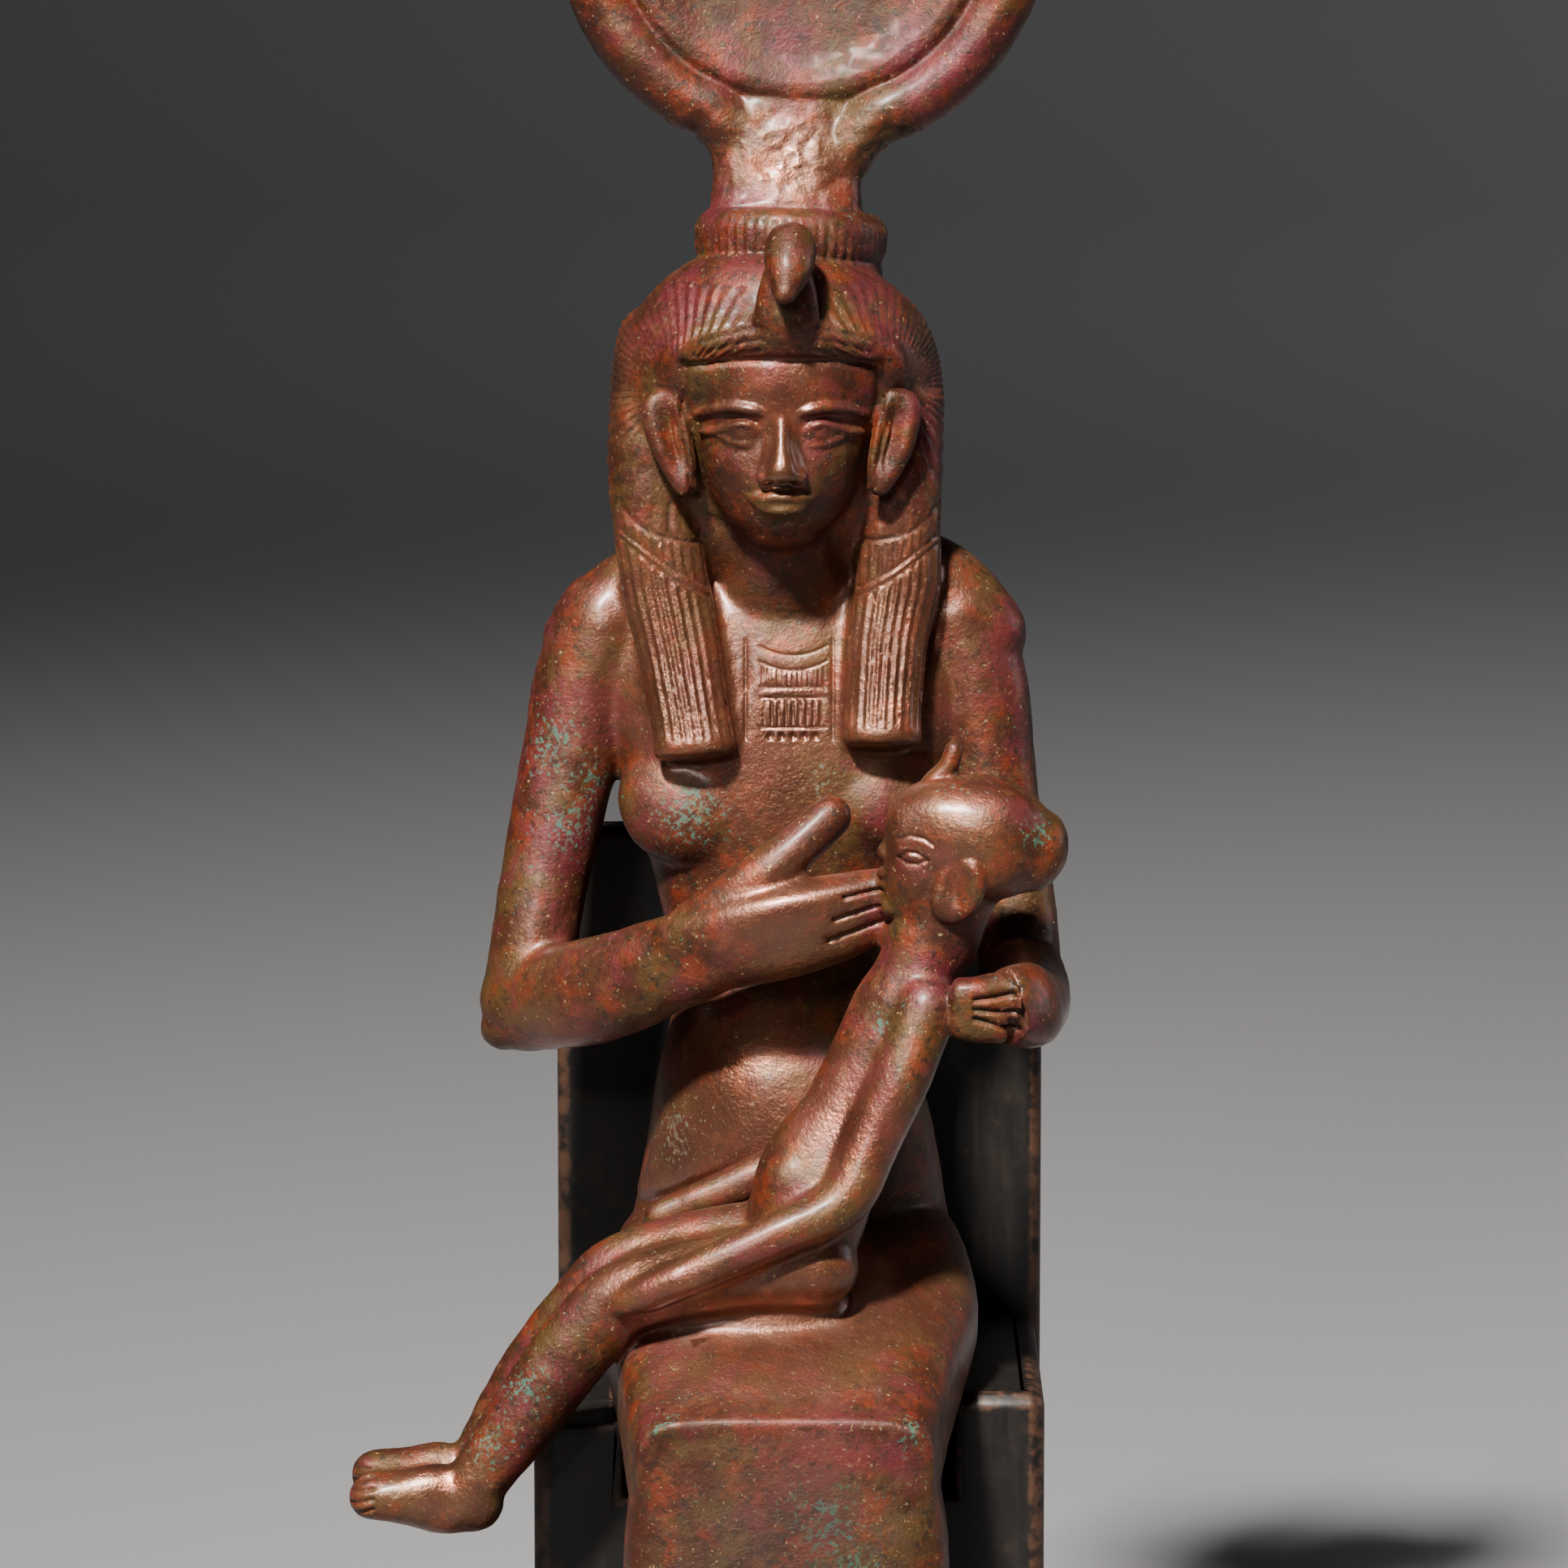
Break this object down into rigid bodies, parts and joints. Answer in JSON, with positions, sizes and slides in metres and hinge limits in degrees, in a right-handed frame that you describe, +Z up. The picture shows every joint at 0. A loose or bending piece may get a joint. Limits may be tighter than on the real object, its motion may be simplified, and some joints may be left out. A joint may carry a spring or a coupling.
{
  "type": "isis and horus figure",
  "caption": "Bronze seated goddess with sun-disc and horned crown, nursing a child on her lap, on a dark wooden throne and low base.",
  "frame": {"origin": "middle of the wooden base's underside", "axes": "+Z up, the goddess looks along -Y, +X is her own left side"},
  "size_m": [0.0668, 0.0822, 0.2156],
  "materials": {
    "bronze": "waxed cast bronze, copper-brown and purple-red patina with small green and pale specks",
    "throne_wood": "nearly black waxed wood, brown where its edges are worn",
    "base_wood": "nearly black waxed wood"
  },
  "bodies": {
    "root": {"mother_and_child": "bronze", "throne_seat": "throne_wood", "throne_back": "throne_wood", "base": "base_wood"}
  },
  "joints": []
}
